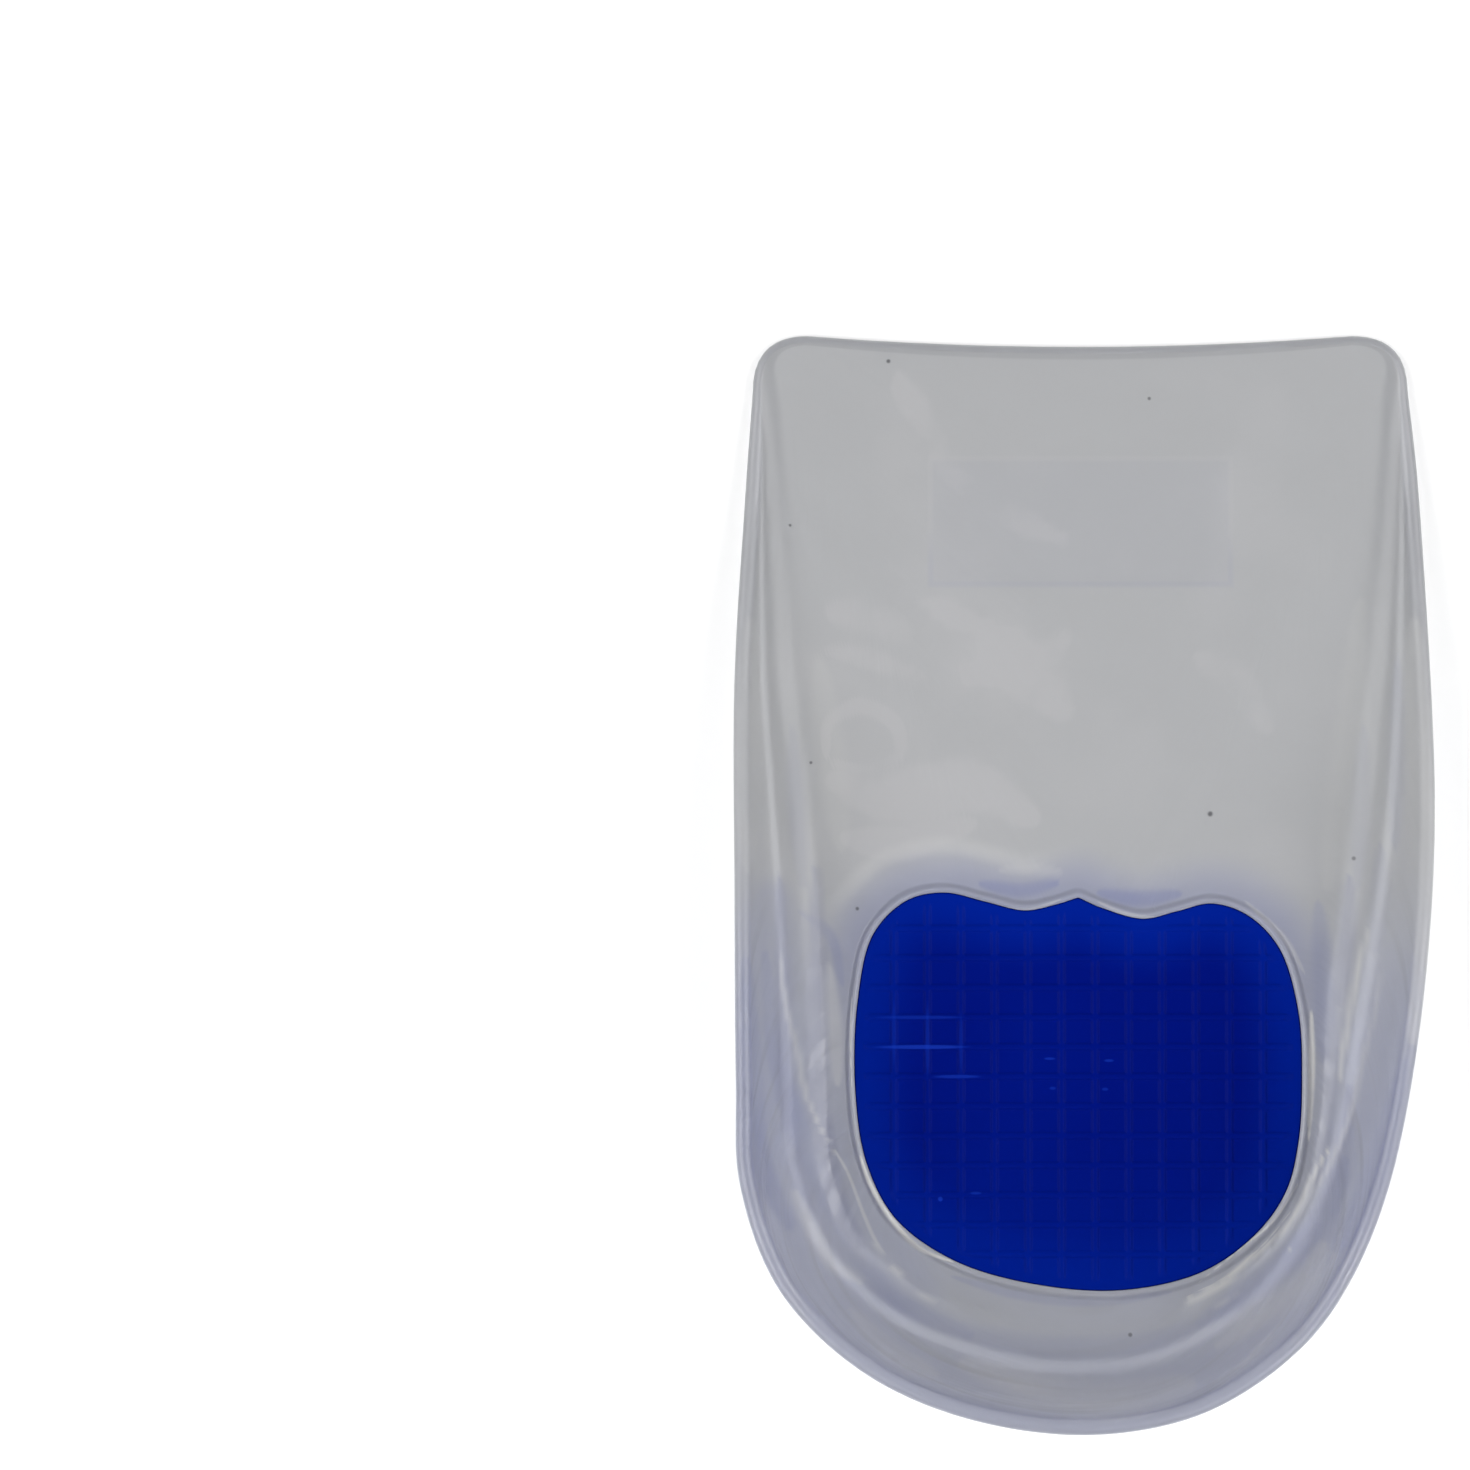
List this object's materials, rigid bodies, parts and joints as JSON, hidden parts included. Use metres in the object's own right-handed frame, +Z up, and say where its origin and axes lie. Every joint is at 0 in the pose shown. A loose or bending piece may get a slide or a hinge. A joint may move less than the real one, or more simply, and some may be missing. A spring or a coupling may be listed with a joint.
{
  "type": "heel cup",
  "caption": "Clear silicone gel heel cup with raised side and back walls and a soft blue pad set into its floor; cradles and cushions the heel inside a shoe.",
  "frame": {"origin": "on the floor that the sole lies on, under the middle of the outline's box", "axes": "+Y towards the toes, +X towards the wearer's right, +Z up out of the cup"},
  "size_m": [0.0706, 0.11, 0.025],
  "materials": {
    "clear_gel": "clear moulded silicone gel, slightly milky, with a soft wet gloss",
    "blue_gel": "deep blue soft silicone under a fine waffle relief, satin"
  },
  "bodies": {
    "root": {"gel_shell": "clear_gel", "heel_pad": "blue_gel"}
  },
  "joints": []
}
